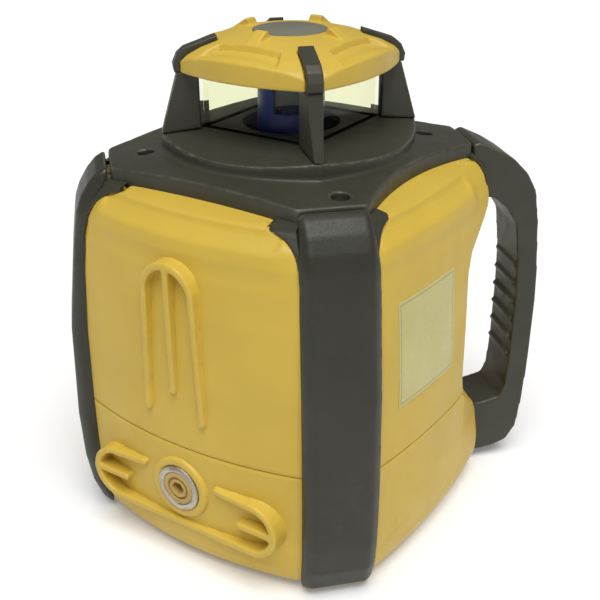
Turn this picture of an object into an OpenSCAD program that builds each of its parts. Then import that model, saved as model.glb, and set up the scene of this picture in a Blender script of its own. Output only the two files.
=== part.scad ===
// Rotating laser level. A laser barrel hangs in a gimbal, two screws level it, and a
// geared head spins on top of it inside a glass lantern.
// Millimetres. The origin is the mouth of the tripod thread, on the plane that the
// level stands on. +Z is up, -Y is the lay-down side and -X is the battery side. The
// label is on +X, the controls are on +Y, and the handle stands between those two.

/* [Housing] */
// Distance from the axis to the lay-down and battery faces at their widest
face_half = 91; // [88:0.5:110]
// How much nearer to the axis the label and control faces stand
rear_inset = 4; // [2:0.5:6]
// Bulge radius of the lay-down and battery faces
face_bulge_r = 202; // [180:1:300]
// Bulge radius of the label and control faces
rear_bulge_r = 362; // [300:1:500]
// Height of the parting line between the housings
seam_z = 65; // [64:0.5:78]
// Height of the upper housing above the parting line
upper_h = 107; // [107:0.5:130]
// Wall of the housings
wall = 3; // [2:0.25:3.5]
// Height of the housing floor's underside above the standing plane
floor_z = 1; // [0.5:0.25:2]

/* [Corners] */
// How far the bumper seats cut back the housing's square corner
corner_cut = 30.9; // [29:0.1:33]
// Width of a bumper
bumper_w = 33; // [30:0.5:36]
// Width of an arm of the top plate
arm_w = 28.4; // [26:0.2:30]
// How far the bumpers stand out from their seats at mid height
bumper_rise = 12.6; // [10:0.2:15]
// Gap between an arm of the top plate and its bumper
arm_gap = 1.2; // [0.8:0.1:2]

/* [Handle] */
// Width of the handle
handle_w = 28; // [24:0.5:30]
// Distance from the handle corner's bumper seat line to the back of the grip
grip_reach = 27; // [25:0.5:34]
// Thickness of the grip from its inner side to its back
grip_t = 11; // [9:0.5:14]
// Depth of the finger recess behind the bumper seat line
recess_depth = 24.5; // [20:0.5:25]
// Number of finger ribs on the grip
rib_count = 6; // [3:1:7]

/* [Lantern] */
// Half width of the square of glass panes
glass_half = 28.7; // [28.5:0.1:32]
// Thickness of a glass pane
glass_t = 3; // [2:0.25:4]
// Visible height of the glass
glass_h = 24.6; // [24:0.2:34]
// Radius of the opening in the lantern floor
well_r = 21.55; // [21.2:0.05:22.5]
// Height of the cap from its rim to its disc
cap_h = 16; // [15:0.25:20]
// Half width of the cap's rim at the middle of a side
cap_half = 43; // [42:0.25:48]
// Radius of the disc in the cap
disc_r = 16.3; // [14:0.1:18]

/* [Mounts] */
// Radius of the 5/8 inch tripod screw
thread_r = 7.94; // [7.94:0.01:7.94]
// Depth of the tripod thread
thread_depth = 15; // [12:0.5:15.5]
// Height of the lay-down thread's axis
side_z = 43.3; // [42:0.1:46]
// Depth of the lay-down thread
side_depth = 15; // [12:0.5:18]
// Radius of the flange round the lay-down thread
boss_r = 15; // [14:0.25:17]
// How far the lay-down feet and the boss stand past the widest point of the face
foot_rise = 1.5; // [1:0.1:3]

/* [Gimbal and head] */
// Depth of the gimbal's centre under the housing's deck
pivot_drop = 15; // [15:0.5:17]
// Outer radius of the laser barrel
barrel_r = 13; // [12.5:0.1:13.5]
// Outer radius of the spinning head
head_r = 14.5; // [14:0.1:15]
// Radius of the gimbal pins
pin_r = 2; // [1.5:0.1:2.5]
// Reach of a tilt arm, from the barrel's axis to its ball
arm_reach = 40; // [39:0.25:41]
// Largest tilt of the barrel each way, degrees
tilt_max = 5; // [3:0.5:5]
// Teeth on the head's ring gear
gear_teeth = 36; // [36:1:36]
// Teeth on the motor's pinion
pinion_teeth = 9; // [9:1:9]
// Gear module
gear_module = 0.8; // [0.8:0.05:0.8]

/* [Battery] */
// Radius of a cell
cell_r = 17.1; // [15:0.1:17.1]
// Length of a cell
cell_len = 61.5; // [50:0.5:61.5]
// Wall of the battery tray
tray_wall = 1.6; // [1.2:0.1:2]

/* [Controls] */
// Width of the control panel
panel_w = 52; // [48:0.5:54]
// Height of the control panel
panel_h = 60; // [56:0.5:62]
// Radius of a button
button_r = 5; // [4:0.1:5.5]
// Travel of a button
button_travel = 0.8; // [0.4:0.1:0.8]

/* [Clearances] */
// Running clearance of shafts and pins
run_fit = 0.05; // [0.02:0.01:0.1]
// Clearance between moulded pieces that drop into each other
seat_gap = 0.3; // [0.2:0.05:0.4]
// Clearance of a piece that slides or lifts out
slide_gap = 0.4; // [0.3:0.05:0.6]

/* [Hidden] */
$fn = 96;

handle_a = 45;
back_a = 135;
left_a = 225;
front_a = 315;
sqrt2 = sqrt(2);

// Distance from the axis to the label and control faces at their widest
rear_half = face_half - rear_inset;

body_h = seam_z + upper_h;
deck_z = body_h - 7;
deck_t = 3;
plate_z = deck_z + deck_t;
plate_top_z = body_h + 5;
skirt_foot_z = body_h + 7;
skirt_z = body_h + 13.2;
glass_z = body_h + 16.7;
rim_z = glass_z + glass_h;
disc_z = rim_z + cap_h;

seat_r = (face_half + rear_half) / sqrt2 - corner_cut;
arm_r = seat_r - 13;
knee_z = body_h - 22;
arm_foot_z = body_h - 8;

// Lay-down plane
foot_y = face_half + foot_rise;

// Outline of a face: [height, how far it falls back from the face's widest point]
face_line = [
    [floor_z, 13], [floor_z + 2, 8], [floor_z + 6, 4.2], [floor_z + 12, 2],
    [floor_z + 24, 0.6], [seam_z - 20, 0.1], [seam_z, 0], [seam_z + 35, 0.5],
    [body_h - 42, 2], [body_h - 26, 3.6], [body_h - 16, 5.6], [body_h - 9, 8.8],
    [body_h - 4, 12.6], [body_h, 17]
];

// ---------------------------------------------------------------- shared shapes
module at_corner(a) {
    rotate([0, 0, a]) children();
}

// A slab in the plane through the axis: x is the distance from the axis, y is height
module radial_slab(points, w) {
    rotate([90, 0, 0]) linear_extrude(w, center = true) polygon(points);
}

module box(x0, x1, y0, y1, z0, z1) {
    translate([x0, y0, z0]) cube([x1 - x0, y1 - y0, z1 - z0]);
}

module rod(r, z0, z1) {
    translate([0, 0, z0]) cylinder(r = r, h = z1 - z0);
}

module tube(r_out, r_in, z0, z1) {
    difference() {
        rod(r_out, z0, z1);
        rod(r_in, z0 - 1, z1 + 1);
    }
}

// Four sides of a plan, each a parabola: half is the middle, corner the end
function side_points(half, corner, drop, a) = [
    for (i = [-8 : 8])
        let (s = i / 8, d = half - drop * s * s)
        [d * cos(a) - corner * s * sin(a), d * sin(a) + corner * s * cos(a)]
];

function plan(half, corner, drop) = [
    for (a = [0, 90, 180, 270]) each side_points(half, corner, drop, a)
];

// The solid behind one bulged face that looks along +X
module face_solid(half, bulge_r, inset) {
    translate([half - bulge_r, 0, 0])
        rotate_extrude() polygon(concat(
            [[0, floor_z]],
            [for (p = face_line) [bulge_r - p[1] - inset, p[0]]],
            [[0, body_h]]
        ));
}

module body_solid(inset = 0) {
    intersection() {
        face_solid(rear_half, rear_bulge_r, inset);
        rotate([0, 0, 90]) face_solid(rear_half, rear_bulge_r, inset);
        rotate([0, 0, 180]) face_solid(face_half, face_bulge_r, inset);
        rotate([0, 0, 270]) face_solid(face_half, face_bulge_r, inset);
    }
}

// Everything outside the seat of a bumper
module bumper_room(grow) {
    far = seat_r + 40;
    half_w = bumper_w / 2 + grow;
    radial_slab([
        [seat_r - grow, -5], [seat_r - grow, knee_z], [arm_r + arm_gap, arm_foot_z - grow],
        [arm_r + arm_gap, body_h + 10], [far, body_h + 10], [far, -5]
    ], 2 * half_w);
}

// The corner that the handle stands at: the nose of the housing at each end, and the
// finger recess between them
nose_top_r = seat_r - 7;
nose_low_r = seat_r - 3.5;
recess_r = seat_r - recess_depth;
root_r = arm_r + arm_gap;
root_top_z = body_h - 21.5;
root_low_z = 36;

module handle_room(grow) {
    far = seat_r + 60;
    radial_slab([
        [nose_low_r - grow, -5], [nose_low_r - grow, root_low_z],
        [nose_low_r - 4 - grow, root_low_z + 8], [recess_r + 9 - grow, root_low_z + 17],
        [recess_r + 2 - grow, root_low_z + 28 - grow], [recess_r - grow, root_low_z + 40],
        [recess_r - grow, root_top_z - 22 + grow], [recess_r + 2.5 - grow, root_top_z - 14 + grow],
        [recess_r + 10 - grow, root_top_z - 6 + grow], [nose_top_r - 1 - grow, root_top_z + grow],
        [nose_top_r - grow, root_top_z + 3 + grow], [nose_top_r - grow, body_h + 10],
        [far, body_h + 10], [far, -5]
    ], 200);
    // Room for the roots of the handle
    radial_slab([
        [root_r - grow, root_top_z - grow], [root_r - grow, body_h + 10],
        [far, body_h + 10], [far, root_top_z - grow]
    ], handle_w + 2 * seat_gap + 2 * grow);
    // The label and control faces bend inwards towards the handle
    for (m = [0, 1])
        mirror([0, m, 0]) rotate([0, 0, -handle_a])
            translate([rear_half - grow, 16, 0]) rotate([0, 0, 14])
                box(0, 60, -10, 90, -5, root_top_z - 4);
}

// Everything that the corners take away from the housing
module corner_room(grow = 0) {
    for (a = [back_a, left_a, front_a])
        at_corner(a) bumper_room(grow);
    at_corner(handle_a) handle_room(grow);
}

// The hollow inside both housings
module cavity(inset = 0) {
    difference() {
        intersection() {
            body_solid(wall + inset);
            box(-150, 150, -150, 150, floor_z + wall, deck_z);
        }
        corner_room(wall + inset);
    }
}

// ---------------------------------------------------------------- housing details
screw_places = [
    [(seat_r - 22.4), 5.2, front_a], [(seat_r - 29.3), 0, left_a],
    [(seat_r - 31.6), 0, handle_a], [(seat_r - 22.4), -5.2, back_a]
];
screw_r = 2;
screw_head_r = 3.6;
screw_hole_r = 3.9;
screw_seat_z = plate_z + 3;
screw_end_z = 30;
screw_boss_r = 5;

module at_screws() {
    for (p = screw_places)
        at_corner(p[2]) translate([p[0], p[1], 0]) children();
}

tray_half_w = 2 * cell_r + 2 * tray_wall + 0.3;
tray_z = 17.4;
tray_h = 2 * cell_r + 2 * tray_wall;
tray_back_x = cell_len + 4.5;
cell_z = tray_z + tray_wall + cell_r;
door_x = -(face_half - 11);
bay_wall = 2;
bay_z0 = tray_z - slide_gap;
bay_z1 = tray_z + tray_h + slide_gap;
bay_half = tray_half_w + slide_gap;

module battery_bay(grow) {
    box(-150, tray_back_x + slide_gap + grow, -bay_half - grow, bay_half + grow,
        bay_z0 - grow, bay_z1 + grow);
}

foot_rib = 3;
foot_half = 14;

// A lay-down foot: two ribs that meet in a round end, with a third between them
function foot_outline(len, half, tip) = concat(
    [[tip, 0], [half, len - half - 4]],
    [for (i = [0 : 12]) [half * cos(i * 15), len - half + half * sin(i * 15)]],
    [[-half, len - half - 4], [-tip, 0]]
);

module foot_2d(len, half, tip) {
    difference() {
        polygon(foot_outline(len, half, tip));
        translate([0, -0.5]) polygon(foot_outline(len - foot_rib, half - foot_rib, tip - foot_rib));
    }
    translate([-foot_rib / 2, 12]) square([foot_rib, len - 14]);
}

// An outline in the plane of the lay-down face, pushed out to the lay-down plane
module on_face(z) {
    translate([0, -face_half + 14, z]) rotate([90, 0, 0])
        linear_extrude(14 + foot_rise) children();
}

low_foot_z = 36;
low_foot_half = 13.5;
low_foot_end = 52;
low_foot_len = 33;
top_foot_z = 80;
top_foot_len = body_h - 19.5 - top_foot_z;
ridge_z = low_foot_z - low_foot_half;

insert_r = 11;
insert_flange = 0.6;

// ---------------------------------------------------------------- housings
module lower_housing() {
    color("goldenrod") difference() {
        union() {
            difference() {
                intersection() {
                    body_solid();
                    box(-150, 150, -150, 150, floor_z, seam_z);
                }
                cavity();
                corner_room();
            }
            // Lay-down feet and the ridge that joins them
            difference() {
                union() {
                    for (m = [0, 1])
                        mirror([m, 0, 0]) translate([low_foot_end - low_foot_len, 0, 0])
                            on_face(low_foot_z) rotate(-90)
                                foot_2d(low_foot_len, low_foot_half, low_foot_half + 1);
                    on_face(ridge_z) translate([-low_foot_end + 10, 0])
                        square([2 * low_foot_end - 20, foot_rib]);
                }
                cavity();
                box(-150, 150, -150, 150, seam_z, 200);
            }
            // Boss of the lay-down thread
            translate([0, -foot_y, side_z]) rotate([-90, 0, 0])
                rod(boss_r, 0, side_depth + foot_rise + 6);
            // Battery bay
            intersection() {
                body_solid();
                battery_bay(bay_wall);
            }
            // Pad that carries the base plate, and the screw bosses
            rod(base_r + 4, floor_z, base_pad_z);
            for (a = [45 : 90 : 315])
                rotate([0, 0, a]) translate([base_screw_pcd_r, 0, 0]) rod(4.5, base_pad_z - 1, bay_z0 - 1);
            intersection() {
                at_screws() rod(screw_boss_r, floor_z + 1, seam_z);
                body_solid(1);
            }
            // Standoffs of the main board
            for (x = [-1, 1], y = [-1, 1])
                translate([x * (board_w / 2 - 5), y * (board_d / 2 - 5), 0])
                    rod(3, bay_z1 + 1, board_z);
        }
        battery_bay(0);
        // Seat of the base plate
        rod(base_r + seat_gap, floor_z - 1, base_t);
        rod(base_boss_r + seat_gap, 0, bay_z0 - bay_wall - 0.01);
        for (a = [45 : 90 : 315])
            rotate([0, 0, a]) translate([base_screw_pcd_r, 0, 0]) rod(screw_r + run_fit, 0, base_screw_end_z + 0.5);
        at_screws() rod(screw_r + run_fit, screw_end_z - 1, seam_z + 1);
        translate([0, -foot_y, side_z]) rotate([-90, 0, 0])
            rod(insert_r, -1, side_depth);
        at_corner(handle_a) handle_screw_shapes(run_fit);
    }
}

module upper_housing() {
    color("goldenrod") difference() {
        union() {
            difference() {
                intersection() {
                    body_solid();
                    box(-150, 150, -150, 150, seam_z, body_h);
                }
                cavity();
                corner_room();
            }
            difference() {
                on_face(top_foot_z) foot_2d(top_foot_len, foot_half, foot_half + 2.4);
                cavity();
            }
            intersection() {
                at_screws() rod(screw_boss_r, seam_z, deck_z + 1);
                body_solid(1);
            }
            // Frame round the control panel
            intersection() {
                body_solid(0.5);
                box(panel_x - panel_w / 2 - 3, panel_x + panel_w / 2 + 3, panel_y - 4, rear_half,
                    panel_z - panel_h / 2 - 3, panel_z + panel_h / 2 + 3);
            }
        }
        // Seat of the top plate
        translate([0, 0, plate_z]) linear_extrude(20) plate_plan(seat_gap);
        rod(deck_hole_r, deck_z - 1, plate_z + 1);
        at_screws() rod(screw_r + run_fit, seam_z - 1, plate_z + 1);
        for (a = [45 : 90 : 315])
            rotate([0, 0, a]) translate([chassis_screw_pcd_r, 0, 0]) rod(1.5 + run_fit, deck_z - 1, plate_z - 0.5);
        // Opening for the control panel
        box(panel_x - panel_w / 2 - seat_gap, panel_x + panel_w / 2 + seat_gap, panel_y, rear_half + 5,
            panel_z - panel_h / 2 - seat_gap, panel_z + panel_h / 2 + seat_gap);
        box(panel_x - panel_w / 2 + 3, panel_x + panel_w / 2 - 3, panel_y - 5, panel_y + 1,
            panel_z - panel_h / 2 + 3, panel_z + panel_h / 2 - 3);
        at_corner(handle_a) handle_screw_shapes(run_fit);
    }
}

seal_t = 1.8;

module seam_seal() {
    color("dimgray") intersection() {
        difference() {
            cavity();
            cavity(seal_t);
            at_screws() rod(screw_boss_r + 0.1, seam_z - 10, seam_z + 10);
        }
        box(-150, 150, -150, 150, seam_z - 2.5, seam_z + 2.5);
    }
}

// ---------------------------------------------------------------- top plate and lantern
deck_hole_r = 32;
well_room_r = 38;
plate_sag = 1;
plate_sag_rear = 7;

module plate_plan(grow = 0) {
    d = (arm_r + arm_w / 2) / sqrt2 + grow;
    c = (arm_r - arm_w / 2) / sqrt2 + grow;
    polygon([
        for (a = [0, 90, 180, 270])
            let (sag = a < 180 ? plate_sag_rear : plate_sag)
            each side_points(d - sag, c, -sag, a)
    ]);
}

skirt_half = 54.5;
skirt_corner = 41.2;
// The ledge round the glass slopes from a small square down to a large one
ledge_in = glass_half + 1.2;
ledge_out = skirt_half + 5.5;
ledge_low_z = skirt_z - 2.7;
ledge_slope = (glass_z - ledge_low_z) / (ledge_out - ledge_in);

module top_plate() {
    color("darkolivegreen") difference() {
        union() {
            intersection() {
                translate([0, 0, plate_z]) linear_extrude(30) plate_plan();
                rotate_extrude() polygon([
                    [0, plate_z], [arm_r + 20, plate_z], [arm_r + 20, plate_top_z - 2],
                    [arm_r, plate_top_z], [skirt_corner * sqrt2 + 1.6, skirt_foot_z], [0, skirt_foot_z]
                ]);
            }
            intersection() {
                translate([0, 0, skirt_foot_z - 1]) linear_extrude(30)
                    polygon(plan(skirt_half, skirt_corner, skirt_half - skirt_corner));
                hull() {
                    box(-ledge_out, ledge_out, -ledge_out, ledge_out, skirt_foot_z - 1, ledge_low_z);
                    box(-ledge_in, ledge_in, -ledge_in, ledge_in, ledge_low_z, glass_z);
                }
            }
        }
        rod(well_room_r, plate_z - 1, glass_z - 6);
        rod(well_r + 2.5, plate_z, glass_z + 1);
        // Seats of the lantern floor and of the gasket under the glass
        box(-floor_half - 0.1, floor_half + 0.1, -floor_half - 0.1, floor_half + 0.1,
            glass_z - floor_t, glass_z + 1);
        box(-gasket_out, gasket_out, -gasket_out, gasket_out, glass_z - gasket_t, glass_z + 1);
        at_screws() {
            rod(screw_hole_r, screw_seat_z, skirt_z);
            rod(screw_r + run_fit, plate_z - 1, screw_seat_z + 1);
        }
    }
}

floor_half = glass_half - glass_t - 0.2;
floor_t = 3;
gasket_out = glass_half + 0.15;
gasket_in = floor_half + 0.2;
gasket_t = 1.5;

module lantern_floor() {
    color("dimgray") difference() {
        box(-floor_half, floor_half, -floor_half, floor_half, glass_z - floor_t, glass_z);
        rod(well_r, glass_z - floor_t - 1, glass_z + 1);
    }
}

module glass_gasket() {
    color("black") difference() {
        box(-gasket_out, gasket_out, -gasket_out, gasket_out, glass_z - gasket_t, glass_z);
        box(-gasket_in, gasket_in, -gasket_in, gasket_in, glass_z - 5, glass_z + 1);
    }
}

// Depth of the frame under the cap, which holds the top edges of the glass
frame_t = 2.7;
glass_top_z = rim_z + frame_t;

module glass_panes() {
    color("aliceblue") {
        for (m = [0, 180])
            rotate([0, 0, m])
                box(-glass_half, glass_half, -glass_half, -glass_half + glass_t, glass_z, glass_top_z);
        for (m = [0, 180])
            rotate([0, 0, m])
                box(glass_half - glass_t, glass_half, -glass_half + glass_t + 0.1,
                    glass_half - glass_t - 0.1, glass_z, glass_top_z);
    }
}

pillar_in_r = glass_half * sqrt2 + 0.3;
pillar_foot_r = skirt_corner * sqrt2;
pillar_top_r = pillar_foot_r - 8.3;
pillar_foot_z = glass_z - (skirt_corner - ledge_in) * ledge_slope;

module lantern_pillars() {
    color("darkolivegreen") for (a = [45 : 90 : 315])
        at_corner(a) intersection() {
            translate([0, 0, pillar_foot_z - 2]) linear_extrude(60) polygon([
                [pillar_in_r, -4.8], [pillar_foot_r, -1.9], [pillar_foot_r, 1.9], [pillar_in_r, 4.8]
            ]);
            radial_slab([
                [pillar_in_r, glass_z], [ledge_in * sqrt2, glass_z], [pillar_foot_r, pillar_foot_z],
                [pillar_top_r, rim_z], [pillar_in_r, rim_z]
            ], 20);
        }
}

cap_corner = 35.7;
cap_skin = 2.5;

module cap_plan(grow) {
    polygon(plan(cap_half + grow, cap_corner + grow, cap_half - cap_corner));
}

module cap_frame() {
    color("dimgray") difference() {
        intersection() {
            translate([0, 0, rim_z]) linear_extrude(frame_t + 2) cap_plan(-cap_skin - 0.3);
            rod(pillar_top_r - 5, rim_z, rim_z + 10);
        }
        box(-glass_half - 0.2, glass_half + 0.2, -glass_half - 0.2, glass_half + 0.2,
            rim_z - 1, glass_top_z);
        rod(glass_half - glass_t - 0.4, rim_z - 1, rim_z + 20);
    }
}

// Dome of the cap: [radius, depth under the disc]
dome_line = [
    [disc_r, 0], [24, 0.9], [32, 2.7], [40, 5.4], [46, 8.5], [49.4, 11.8], [50.5, 14.6]
];

module cap_dome(inset) {
    intersection() {
        translate([0, 0, rim_z - 1]) linear_extrude(40) cap_plan(-inset);
        rotate_extrude() polygon(concat(
            [[0, disc_z - inset]],
            [for (p = dome_line) [p[0] - inset * 0.4, disc_z - p[1] - inset]],
            [[cap_half + 8, disc_z - 14.6 - inset], [cap_half + 8, rim_z], [0, rim_z]]
        ));
    }
}

strap_w = 6.8;
strap_end_r = 32.3;

// Outline of a strap over the cap's corner, pushed in by t
function strap_line(t) = [
    [51.2 - t, rim_z], [51.6 - t, rim_z + 3.5], [49.6 - t, disc_z - 8.2 - t],
    [46.5 - t * 0.6, disc_z - 5.6 - t], [strap_end_r, disc_z - 0.9 - t]
];

module strap_room(grow) {
    radial_slab(concat(
        [[62, rim_z - 1], [62, disc_z + 5], [strap_end_r - grow, disc_z + 5]],
        [for (i = [4 : -1 : 0]) strap_line(3.2 + grow)[i] - [i == 4 ? grow : 0, 0]],
        [[strap_line(3.2 + grow)[0][0], rim_z - 1]]
    ), strap_w + 2 * grow);
}

module cap_cover() {
    color("goldenrod") difference() {
        union() {
            cap_dome(0);
            // Small peaks round the disc
            for (a = [0 : 90 : 270])
                rotate([0, 0, a]) radial_slab([
                    [disc_r + 2, disc_z - 2], [disc_r + 4.4, disc_z + 2.6],
                    [disc_r + 6, disc_z + 2.4], [disc_r + 16, disc_z - 4]
                ], 6);
        }
        difference() {
            cap_dome(cap_skin);
            tube(22, 4, disc_z - cap_skin - 1.4, disc_z);
        }
        translate([0, 0, -0.01]) cap_under();
        rod(disc_r + 0.15, disc_z - 1.5, disc_z + 1);
        for (a = [45 : 90 : 315])
            at_corner(a) strap_room(0.3);
    }
}

module cap_under() {
    translate([0, 0, rim_z - 1]) linear_extrude(2) cap_plan(-cap_skin);
}

module cap_disc() {
    color("gray") rod(disc_r, disc_z - 1.5, disc_z);
}

module cap_straps() {
    color("darkolivegreen") for (a = [45 : 90 : 315])
        at_corner(a) radial_slab(concat(
            strap_line(0), [for (i = [4 : -1 : 0]) strap_line(3.1)[i]]
        ), strap_w);
}

// ---------------------------------------------------------------- bumpers and handle
// Outer outline of a bumper, from the foot to the end beside the top plate's arm
function bumper_line(d) = [
    [seat_r - 3, 0], [seat_r + bumper_rise - 7.6 - d, 5 + d * 0.4],
    [seat_r + bumper_rise - 3.4 - d, 16], [seat_r + bumper_rise - 1 - d, 31],
    [seat_r + bumper_rise - d, 55], [seat_r + bumper_rise - 1.4 - d, (31 + body_h) / 2],
    [seat_r + bumper_rise - 6.2 - d, body_h - 33], [seat_r + 3.6 - d, body_h - 15],
    [seat_r + 1.4 - d, body_h - 9 - d * 0.3], [seat_r - 2.6 - d, body_h - 2.4 - d * 0.6],
    [seat_r - 7 - d * 0.6, body_h + 2.6 - d], [arm_r + arm_gap, plate_top_z - d]
];

module bumper() {
    color("darkolivegreen") intersection() {
        hull() {
            radial_slab(concat(bumper_line(0), [[arm_r + arm_gap, 0]]), bumper_w - 8);
            radial_slab(concat(bumper_line(1.2), [[arm_r + arm_gap, 0]]), bumper_w - 4.6);
            radial_slab([
                for (i = [0 : 7]) bumper_line(3.4)[i],
            ], bumper_w);
        }
        bumper_room(0);
    }
}

module bumper_front() {
    at_corner(front_a) bumper();
}

module bumper_left() {
    at_corner(left_a) bumper();
}

module bumper_back() {
    at_corner(back_a) bumper();
}

grip_r = seat_r + grip_reach;

// Outer and inner outlines of the handle, in the plane of its corner
function handle_outer() = [
    [root_r, body_h + 3.4], [seat_r - 9, body_h + 4.6], [seat_r + 1, body_h],
    [seat_r + 9.4, body_h - 5.2], [grip_r - 10.4, body_h - 12.6], [grip_r - 5.6, body_h - 21.4],
    [grip_r - 3, body_h - 37], [grip_r - 0.6, body_h - 66], [grip_r, body_h / 2 + 6],
    [grip_r - 0.4, 60], [grip_r - 1.6, 36], [grip_r - 3.6, 18], [grip_r - 8.6, 9.8],
    [grip_r - 17, 6.4], [nose_low_r, 5]
];

function handle_inner() = [
    [nose_low_r, 35.6], [nose_low_r + 6, 35], [grip_r - grip_t - 3.6, 37.4],
    [grip_r - grip_t - 1, 44], [grip_r - grip_t, 62], [grip_r - grip_t + 0.4, body_h / 2 + 6],
    [grip_r - grip_t - 0.6, body_h - 57], [grip_r - grip_t - 3, body_h - 38],
    [grip_r - grip_t - 8.4, body_h - 29.4], [grip_r - grip_t - 15, body_h - 23.8],
    [nose_top_r, root_top_z], [nose_top_r, root_top_z + seat_gap], [root_r, root_top_z + seat_gap]
];

module carry_handle() {
    color("darkolivegreen") at_corner(handle_a) difference() {
        union() {
            radial_slab(concat(handle_outer(), handle_inner()), handle_w);
            for (i = [0 : rib_count - 1])
                translate([grip_r - grip_t, 0, 62 + i * (body_h - 60 - 62) / (rib_count - 1)])
                    rotate([90, 0, 0]) cylinder(r = 1.8, h = handle_w - 4, center = true);
        }
        handle_screw_shapes(run_fit);
    }
}

handle_screw_len = 14;

module handle_screw_shapes(gap) {
    for (p = [[root_r, body_h - 12], [nose_low_r, 20]], t = [-7, 7])
        translate([p[0], t, p[1]]) rotate([0, 90, 0]) translate([0, 0, -wall - 0.5])
            cylinder(r = screw_r + gap, h = handle_screw_len);
}

module handle_screws() {
    color("silver") at_corner(handle_a) {
        handle_screw_shapes(0);
        for (p = [[root_r - wall - 2.6, body_h - 12], [nose_low_r - wall - 2.6, 20]], t = [-7, 7])
            translate([p[0], t, p[1]]) rotate([0, 90, 0]) cylinder(r = screw_head_r, h = 2.4);
    }
}

module housing_screws() {
    color("silver") at_screws() {
        rod(screw_r, screw_end_z, screw_seat_z + 1);
        difference() {
            rod(screw_head_r, screw_seat_z, screw_seat_z + 3);
            translate([0, 0, screw_seat_z + 1.2]) cylinder(r = 1.7, h = 3, $fn = 6);
        }
    }
}

// ---------------------------------------------------------------- base and side mount
base_r = 42;
base_t = 5.5;
base_boss_r = thread_r + 6.8;
base_pad_z = 9;
base_screw_pcd_r = 33;
base_screw_end_z = 12;

module base_plate() {
    color("silver") difference() {
        union() {
            rod(base_r, 0, base_t);
            rod(base_boss_r, 0, thread_depth);
        }
        rod(thread_r + run_fit, -1, thread_depth + 1);
        for (a = [45 : 90 : 315])
            rotate([0, 0, a]) translate([base_screw_pcd_r, 0, 0]) {
                rod(screw_r + run_fit, -1, base_t + 1);
                rod(screw_head_r + 0.3, -1, 3);
            }
    }
}

module base_screws() {
    color("silver") for (a = [45 : 90 : 315])
        rotate([0, 0, a]) translate([base_screw_pcd_r, 0, 0]) {
            rod(screw_r, 2, base_screw_end_z);
            difference() {
                rod(screw_head_r, 0.5, 3);
                translate([0, 0, 0]) cylinder(r = 1.7, h = 1.8, $fn = 6);
            }
        }
}

module at_side() {
    translate([0, -foot_y, side_z]) rotate([-90, 0, 0]) children();
}

module side_insert() {
    color("silver") at_side()
        tube(insert_r, thread_r + run_fit, -insert_flange, side_depth);
}

plug_len = 10;

module side_plug() {
    color("tan") at_side() difference() {
        rod(thread_r - 0.02, -insert_flange, plug_len);
        tube(5.6, 4.6, -2, 0.6);
        translate([0, 0, -2]) cylinder(r = 3.4, h = 6, $fn = 6);
    }
}

label_w = 45;
label_h = 48;
label_y = -23.5;
label_z = seam_z + 48;

module label_plate() {
    color("khaki") intersection() {
        difference() {
            body_solid(-0.3);
            body_solid(0);
        }
        box(rear_half - 20, rear_half + 5, label_y - label_w / 2, label_y + label_w / 2,
            label_z - label_h / 2, label_z + label_h / 2);
    }
}

// ---------------------------------------------------------------- controls
panel_x = -24;
panel_z = seam_z + 49;
panel_y = rear_half - 7;
panel_t = 7.6;
screen_w = 38;
screen_h = 18;
screen_z = panel_z + 17;
mat_y = panel_y - 3.8;
flange_y = panel_y - 2.7;
button_x = [-15, 0, 15];
button_rows = [-3, -18];

module at_panel(i, j) {
    translate([panel_x + button_x[i], 0, panel_z + button_rows[j]]) children();
}

// A cylinder along +Y
module rod_y(r, y0, y1) {
    translate([0, y0, 0]) rotate([-90, 0, 0]) cylinder(r = r, h = y1 - y0);
}

module control_bezel() {
    color("dimgray") difference() {
        union() {
            box(panel_x - panel_w / 2, panel_x + panel_w / 2, panel_y, panel_y + panel_t,
                panel_z - panel_h / 2, panel_z + panel_h / 2);
            for (x = [-1, 1], z = [-1, 1])
                translate([panel_x + x * (panel_w / 2 - 5), 0, panel_z + z * (panel_h / 2 - 5)])
                    rod_y(1.8, mat_y - 1, panel_y + 1);
        }
        for (i = [0 : 2], j = [0 : 1])
            at_panel(i, j) rod_y(button_r + seat_gap, panel_y - 1, panel_y + panel_t + 1);
        box(panel_x - screen_w / 2 + 2, panel_x + screen_w / 2 - 2, panel_y - 1, panel_y + panel_t + 1,
            screen_z - screen_h / 2 + 2, screen_z + screen_h / 2 - 2);
        box(panel_x - screen_w / 2 - 0.1, panel_x + screen_w / 2 + 0.1, panel_y + panel_t - 1.5,
            panel_y + panel_t + 1, screen_z - screen_h / 2 - 0.1, screen_z + screen_h / 2 + 0.1);
    }
}

module display_window() {
    color("lightblue") box(panel_x - screen_w / 2, panel_x + screen_w / 2, panel_y + panel_t - 1.5,
        panel_y + panel_t - 0.1, screen_z - screen_h / 2, screen_z + screen_h / 2);
}

module display_module() {
    color("darkseagreen") box(panel_x - screen_w / 2 + 1, panel_x + screen_w / 2 - 1, mat_y, panel_y,
        screen_z - screen_h / 2 + 1, screen_z + screen_h / 2 - 1);
}

module control_board() {
    color("green") box(panel_x - panel_w / 2 + 3.4, panel_x + panel_w / 2 - 3.4, mat_y - 2.6, mat_y - 1,
        panel_z - panel_h / 2 + 3.4, panel_z + panel_h / 2 - 3.4);
}

module key_mat() {
    color("dimgray") box(panel_x - 19, panel_x + 19, mat_y - 1, mat_y,
        panel_z + button_rows[1] - 7, panel_z + button_rows[0] + 7);
}

module button(i, j, top) {
    color("black") at_panel(i, j) {
        rod_y(button_r, flange_y, panel_y + panel_t + top);
        rod_y(button_r + 1.2, flange_y, panel_y - seat_gap);
    }
}

button_top = 1.4;

module power_button() {
    button(0, 0, button_top);
}

module speed_button() {
    button(1, 0, button_top);
}

module scan_button() {
    button(2, 0, button_top);
}

module level_button() {
    button(0, 1, button_top);
}

module up_button() {
    button(1, 1, button_top);
}

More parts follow.
